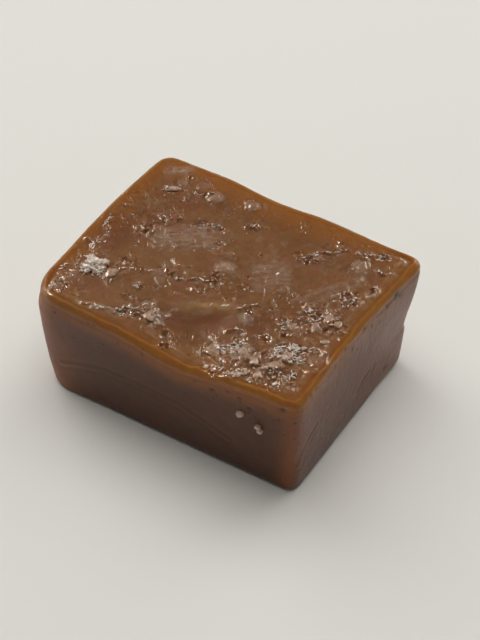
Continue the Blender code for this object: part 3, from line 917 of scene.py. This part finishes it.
# small loose grains
grainLook = {
    "shape": (0.75, 1.15),  # least and most of the size along each axis
    "sinking": (-0.34, 0.05),
    "reach": (13.4, 10.0),  # the ends and sides of the top, less its rim
    "shade": (0.5, 1.3),
    # x, y, two half sizes, turn, how many, least and most size, cloudiness
    "zones": [
        (6.8, -9.6, 2.2, 0.35, -4, 9, 0.2, 0.42, 0.75), (7.4, -7.4, 3.4, 2, 0, 15, 0.2, 0.45, 0.6),
        (10.1, -5.7, 1.6, 0.9, 20, 14, 0.2, 0.45, 0.75), (10.4, -1, 2.2, 1.9, 0, 18, 0.22, 0.5, 0.55),
        (8.2, -2.6, 1.2, 1, 0, 9, 0.2, 0.4, 0.6), (11, 2.7, 1.4, 0.9, 50, 8, 0.18, 0.36, 0.5),
        (-10.3, -5.6, 1.7, 1.3, 0, 12, 0.2, 0.4, 0.6), (-12.3, -8.6, 0.9, 1.2, 20, 8, 0.18, 0.34, 0.6),
        (-4.4, -8.4, 1.8, 0.9, 20, 9, 0.18, 0.36, 0.5), (-4.2, -3.2, 2, 1.2, 0, 7, 0.16, 0.34, 0.45),
        (-0.4, -1.6, 1.4, 1.6, 0, 6, 0.16, 0.32, 0.45), (-4.6, 4.2, 2.2, 0.7, 8, 6, 0.16, 0.32, 0.4),
        (11, 8.9, 2, 0.5, 20, 7, 0.16, 0.34, 0.45), (6.4, 6.8, 2, 1.2, 40, 7, 0.16, 0.32, 0.4),
        (-7, 7.9, 1.8, 0.8, 10, 4, 0.16, 0.32, 0.4), (-1, 6.6, 0.9, 0.5, 0, 4, 0.18, 0.34, 0.4),
        (10.9, -8.8, 1.4, 1, 45, 8, 0.16, 0.34, 0.6), (0, 0, 12, 9, 0, 16, 0.12, 0.24, 0.3),
        (-9.9, -6.3, 0.8, 0.4, 0, 12, 0.16, 0.3, 0.9),
    ],
}


def scatterIn(atX, atY, long, wide, angle):
    # a place somewhere in a soft oval
    offset = Vector((chance.gauss(0, 0.5) * long, chance.gauss(0, 0.5) * wide))
    offset = Matrix.Rotation(math.radians(angle), 2) @ offset
    return atX + offset.x, atY + offset.y


def makeGrains(kinds):
    look = grainLook
    pieces = []
    for *oval, count, least, most, cloudy in look["zones"]:
        for grain in range(count):
            x, y = scatterIn(*oval)
            z = topHeightAt(x, y)
            if z is None or abs(x) > look["reach"][0] or abs(y) > look["reach"][1]:
                continue
            size = chance.uniform(least, most)
            shape = [size * chance.uniform(*look["shape"]) for axis in range(3)]
            shade = min(cloudy * chance.uniform(*look["shade"]), 1)
            kind = chance.choice(kinds)
            place = (x, y, z + size * chance.uniform(*look["sinking"]))
            pieces.append(setCrystal(kind, place, shape, anyTurn(), shade, z))
    return joinAs(pieces, "saltGrains")


# thin white slivers of half melted salt, along the wet folds and in zones of their own
sliverLook = {
    "spacing": 0.22,
    "length": (0.22, 0.48),
    "width": (0.07, 0.11),
    "height": 0.10,
    "lie": 32,  # the way most of them point
    "spread": 0.7,
    "ends": 13.3,  # none lie past the ends or the front edge
    "frontEdge": -10.3,
    "shade": (0.75, 1.0),
    "bends": (-0.7, 0.6, 0.3, -0.3),  # one curl is made for each
    # x, y, two half sizes, turn, how many
    "zones": [
        (10.1, -5.9, 1.2, 0.45, 25, 48), (9.9, -4.9, 1.3, 0.5, 30, 40), (5.3, -6.9, 1.2, 0.55, 30, 38),
        (8.2, -2.6, 1.1, 0.7, 20, 18), (10.4, -0.6, 1.5, 1.1, 40, 22), (-10.4, 6.8, 0.6, 0.18, 25, 12),
        (-3.1, -7.9, 0.5, 0.5, 30, 5), (-5, -8.6, 1, 0.4, 20, 5), (11, 2.5, 0.9, 0.5, 50, 10),
        (5.8, -9.6, 1.6, 0.3, 0, 5), (-12.3, -9.4, 0.5, 0.3, -20, 9), (-12.2, -2.4, 0.5, 0.8, 20, 5),
        (8.2, -8.6, 1.6, 0.6, 0, 6), (-13.1, -6.8, 0.15, 1, 0, 4), (11, -8.2, 0.9, 0.6, 40, 8),
        (11.2, 8.8, 1.6, 0.4, 20, 8), (-13.1, 0.4, 0.15, 1.6, 0, 7), (1.9, -3.6, 0.8, 0.1, 32, 5),
        (8.8, 0, 0.5, 0.35, 30, 8), (-5.9, -5.6, 0.25, 0.2, 20, 6), (11.2, -7.3, 0.5, 0.3, 30, 8),
        (8.8, -5.5, 0.6, 0.4, 30, 14), (-6.8, -9.6, 0.9, 0.15, 12, 6),
    ],
}


def laySliver(pieces, kinds, x, y, angle):
    look = sliverLook
    shade = chance.uniform(*look["shade"])
    z = topHeightAt(x, y)
    if z is None or abs(x) > look["ends"] or y < look["frontEdge"]:
        return
    turn = Matrix.Rotation(angle, 3, "Z") @ Matrix.Rotation(chance.gauss(0, 0.2), 3, "Y")
    shape = (chance.uniform(*look["length"]), chance.uniform(*look["width"]), look["height"])
    pieces.append(setCrystal(chance.choice(kinds), (x, y, z + 0.015), shape, turn.to_quaternion(), shade))


def makeSlivers(kinds):
    look = sliverLook
    pieces = []
    for line, half, rise, wetness in blockLook["folds"]:
        for (startX, startY), (endX, endY) in zip(line, line[1:]):
            wayX, wayY = endX - startX, endY - startY
            steps = int(math.hypot(wayX, wayY) / look["spacing"] * max(wetness - 0.4, 0))
            for step in range(steps):
                share = (step + chance.random()) / steps
                x = startX + wayX * share + chance.gauss(0, 0.04)
                y = startY + wayY * share + chance.gauss(0, 0.04)
                laySliver(pieces, kinds, x, y, math.atan2(wayY, wayX) + chance.gauss(0, 0.25))
    for *oval, count in look["zones"]:
        for sliver in range(count):
            x, y = scatterIn(*oval)
            laySliver(pieces, kinds, x, y, math.radians(look["lie"]) + chance.gauss(0, look["spread"]))
    return joinAs(pieces, "saltSlivers")


# the bright heap near the left end
heapLook = {
    "clumps": [  # place, radius and height above the caramel
        ((-10.7, -5.8), 0.85, 0.38), ((-10.1, -5.1), 0.65, 0.28), ((-10.9, -6.3), 0.55, 0.24),
        ((-9.9, -5.9), 0.55, 0.20), ((-11.1, -5.0), 0.50, 0.22),
    ],
    "grains": 75,  # on a clump with a radius of 1 mm
    "size": (0.20, 0.42),
    "shade": 0.87,
    "moundShade": 0.9,
}


def makeHeap(kinds):
    # a crust of grains over a low mound in every clump
    look = heapLook
    pieces = []
    for (clumpX, clumpY), radius, rise in look["clumps"]:
        foot = topHeightAt(clumpX, clumpY)
        mound = (1.5 * radius, 1.4 * radius, 1.3 * rise)
        turn = Matrix.Rotation(chance.uniform(0, 6.28), 3, "Z").to_quaternion()
        kind = chance.choice(kinds)
        pieces.append(setCrystal(kind, (clumpX, clumpY, foot), mound, turn, look["moundShade"]))
        for grain in range(int(look["grains"] * radius ** 2)):
            angle, reach = chance.uniform(0, 6.28), chance.random() ** 0.6
            x, y = clumpX + math.cos(angle) * reach * radius, clumpY + math.sin(angle) * reach * radius
            size = chance.uniform(*look["size"]) * (1.1 - 0.3 * reach)
            z = topHeightAt(x, y) + 0.85 * rise * math.sqrt(1 - reach ** 2) + chance.uniform(-0.10, 0.04)
            shape = [size * chance.uniform(0.8, 1.2) for axis in range(3)]
            shade = look["shade"] - 0.10 * reach + chance.gauss(0, 0.05)
            pieces.append(setCrystal(chance.choice(kinds), (x, y, z), shape, anyTurn(), shade))
    return joinAs(pieces, "saltHeap")


# the grains that stick to the long cut face
sideSaltLook = {
    # x, z, width, height, turn
    "grains": [(8.1, 9.4, 0.66, 0.75, 15), (9.75, 8.55, 0.52, 0.58, 30), (9.95, 8.15, 0.46, 0.50, 70)],
    "thickness": 0.5,
    "sunk": 0.10,
    "shade": 0.74,
}


def makeSideSalt(kinds):
    look = sideSaltLook
    pieces = []
    for number, (x, z, wide, tall, angle) in enumerate(look["grains"]):
        hit = surface.ray_cast(Vector((x, -20, z)) * mm, Vector((0, 1, 0)))[0]
        turn = Matrix.Rotation(math.radians(angle), 3, "Y").to_quaternion()
        at = (x, hit.y / mm - look["sunk"], z)
        shape = (wide, look["thickness"], tall)
        pieces.append(setCrystal(kinds[number + 2], at, shape, turn, look["shade"]))
    return joinAs(pieces, "sideSalt")


def makeSaltMaterial():
    look = saltLook
    material, tree, shader = newMaterial("salt")
    cloudy = mask(tree, "cloudy")
    grain = doMath(tree, "MULTIPLY_ADD", mottleAt(tree, 0.30, 3, 0.6), 1.3, -0.65)
    uneven = doMath(tree, "ADD", cloudy, grain, clamp=True)
    color = mixColor(tree, smooth(tree, uneven, 0.15, 0.75), look["clear"], look["cloudy"])
    color = paint(tree, color, look["white"], smooth(tree, cloudy, 0.65, 0.95))
    tree.links.new(color, shader.inputs["Base Color"])
    rough = doMath(tree, "MULTIPLY_ADD", mottleAt(tree, 0.3, 2), 0.40, 0.14)
    tree.links.new(rough, shader.inputs["Roughness"])
    height = mottleAt(tree, 0.22, 3, 0.6)
    bump = addNode(tree, "ShaderNodeBump", Strength=0.6, Distance=look["bump"] * mm, Height=height)
    tree.links.new(bump.outputs[0], shader.inputs["Normal"])
    shader.inputs["Subsurface Weight"].default_value = look["depth"]
    shader.inputs["Subsurface Radius"].default_value = (1.0, 1.0, 1.0)
    shader.inputs["Subsurface Scale"].default_value = look["scale"] * mm
    shader.inputs["IOR"].default_value = look["ior"]
    return material


def makeSalt():
    kinds = [cutCrystal(number) for number in range(saltLook["kinds"])]
    worn = [wearCrystal(kind, "worn%d" % number) for number, kind in enumerate(kinds)]
    curls = [curlCrystal(kinds[number], bend, "curl%d" % number)
             for number, bend in enumerate(sliverLook["bends"])]
    makeChunks(worn)
    makeGrains(kinds)
    makeHeap(kinds[:4] + worn[:3])
    makeSlivers(curls)
    makeSideSalt(worn)
    for kind in kinds + worn + curls:
        bpy.data.objects.remove(kind)


# Table, room, lamps and camera.

tableLook = {
    "size": 2.0,  # metres
    "color": (0.885, 0.873, 0.828, 1),
    "roughness": 0.9,
}


def makeTable():
    look = tableLook
    bpy.ops.object.select_all(action="DESELECT")
    bpy.ops.mesh.primitive_plane_add(size=look["size"], location=(0, 0, 0))
    table = bpy.context.object
    table.name = "table"
    material, tree, shader = newMaterial("paleTable")
    shader.inputs["Base Color"].default_value = look["color"]
    shader.inputs["Roughness"].default_value = look["roughness"]
    shader.inputs["Specular IOR Level"].default_value = 0.0
    table.data.materials.append(material)
    print("table done")


roomLook = {"color": (1.0, 0.985, 0.95, 1), "strength": 0.12}


def makeRoom():
    world = bpy.data.worlds.new("softRoom")
    bpy.context.scene.world = world
    world.use_nodes = True
    background = world.node_tree.nodes["Background"]
    background.inputs["Color"].default_value = roomLook["color"]
    background.inputs["Strength"].default_value = roomLook["strength"]
    print("room done")


lampLook = {
    "color": (1, 0.985, 0.96),
    "discs": {  # direction, distance, diameter, power; metres and watts
        "overhead": ((-0.04, 0.13, 1.0), 0.42, 0.41, 0.90),
        "left": ((-0.66, 0.20, 0.72), 0.5, 0.364, 0.66),
        "back": ((0.20, 0.66, 0.72), 0.5, 0.306, 0.36),
    },
    # small lamps that only show as glints in the wet skin
    "glints": [(-0.795, 0.095, 0.600), (-0.913, -0.037, 0.407), (0.25, 0.88, 0.40)],
    "glintColor": (1.0, 0.885, 0.73),
    "glintDistance": 0.5,
    "glintSize": 0.085,
    "glintPower": 2.8,
}


def placeAimed(data, target, way, distance):
    # sets a lamp or a camera at a distance from its target, looking back at it
    placed = bpy.data.objects.new(data.name, data)
    bpy.context.scene.collection.objects.link(placed)
    placed.location = target + way * distance
    placed.rotation_mode = "QUATERNION"
    placed.rotation_quaternion = way.to_track_quat("Z", "Y")
    return placed


def addDisc(name, color, direction, distance, size, power):
    data = bpy.data.lights.new(name, "AREA")
    data.shape = "DISK"
    data.size = size
    data.energy = power
    data.color = color
    return placeAimed(data, Vector((0, 0, 0)), Vector(direction).normalized(), distance)


def addLamps():
    look = lampLook
    for name, settings in look["discs"].items():
        addDisc(name, look["color"], *settings).visible_glossy = False
    for number, direction in enumerate(look["glints"]):
        lamp = addDisc("glint%d" % number, look["glintColor"], direction, look["glintDistance"],
                       look["glintSize"], look["glintPower"])
        lamp.visible_diffuse = False
    print("lamps done:", len(look["discs"]) + len(look["glints"]))


cameraLook = {
    "azimuth": 31.88,  # degrees, round from the front
    "elevation": 47.10,
    "distance": 112.95,
    "lens": 67.5,
    "target": (0.97, 0.86, 6.60),
}


def makeCamera():
    look = cameraLook
    azimuth, elevation = math.radians(look["azimuth"]), math.radians(look["elevation"])
    back = Vector((math.sin(azimuth) * math.cos(elevation), -math.cos(azimuth) * math.cos(elevation),
                   math.sin(elevation)))
    data = bpy.data.cameras.new("camera")
    data.lens = look["lens"]
    data.sensor_width = 36
    data.clip_start = 1 * mm
    data.clip_end = 10
    camera = placeAimed(data, Vector(look["target"]) * mm, back, look["distance"] * mm)
    bpy.context.scene.camera = camera
    print("camera done")


# Everything is built here, in this order.

mottleGroup = makeMottleGroup()
block = makeBlock()
chance = random.Random(saltLook["seed"])
surface = BVHTree.FromPolygons([v.co.copy() for v in block.data.vertices],
                               [tuple(p.vertices) for p in block.data.polygons if len(p.vertices) < 9])
saltMaterial = makeSaltMaterial()
makeSalt()
makeTable()
makeRoom()
addLamps()
makeCamera()
bpy.context.scene.view_settings.view_transform = "Standard"
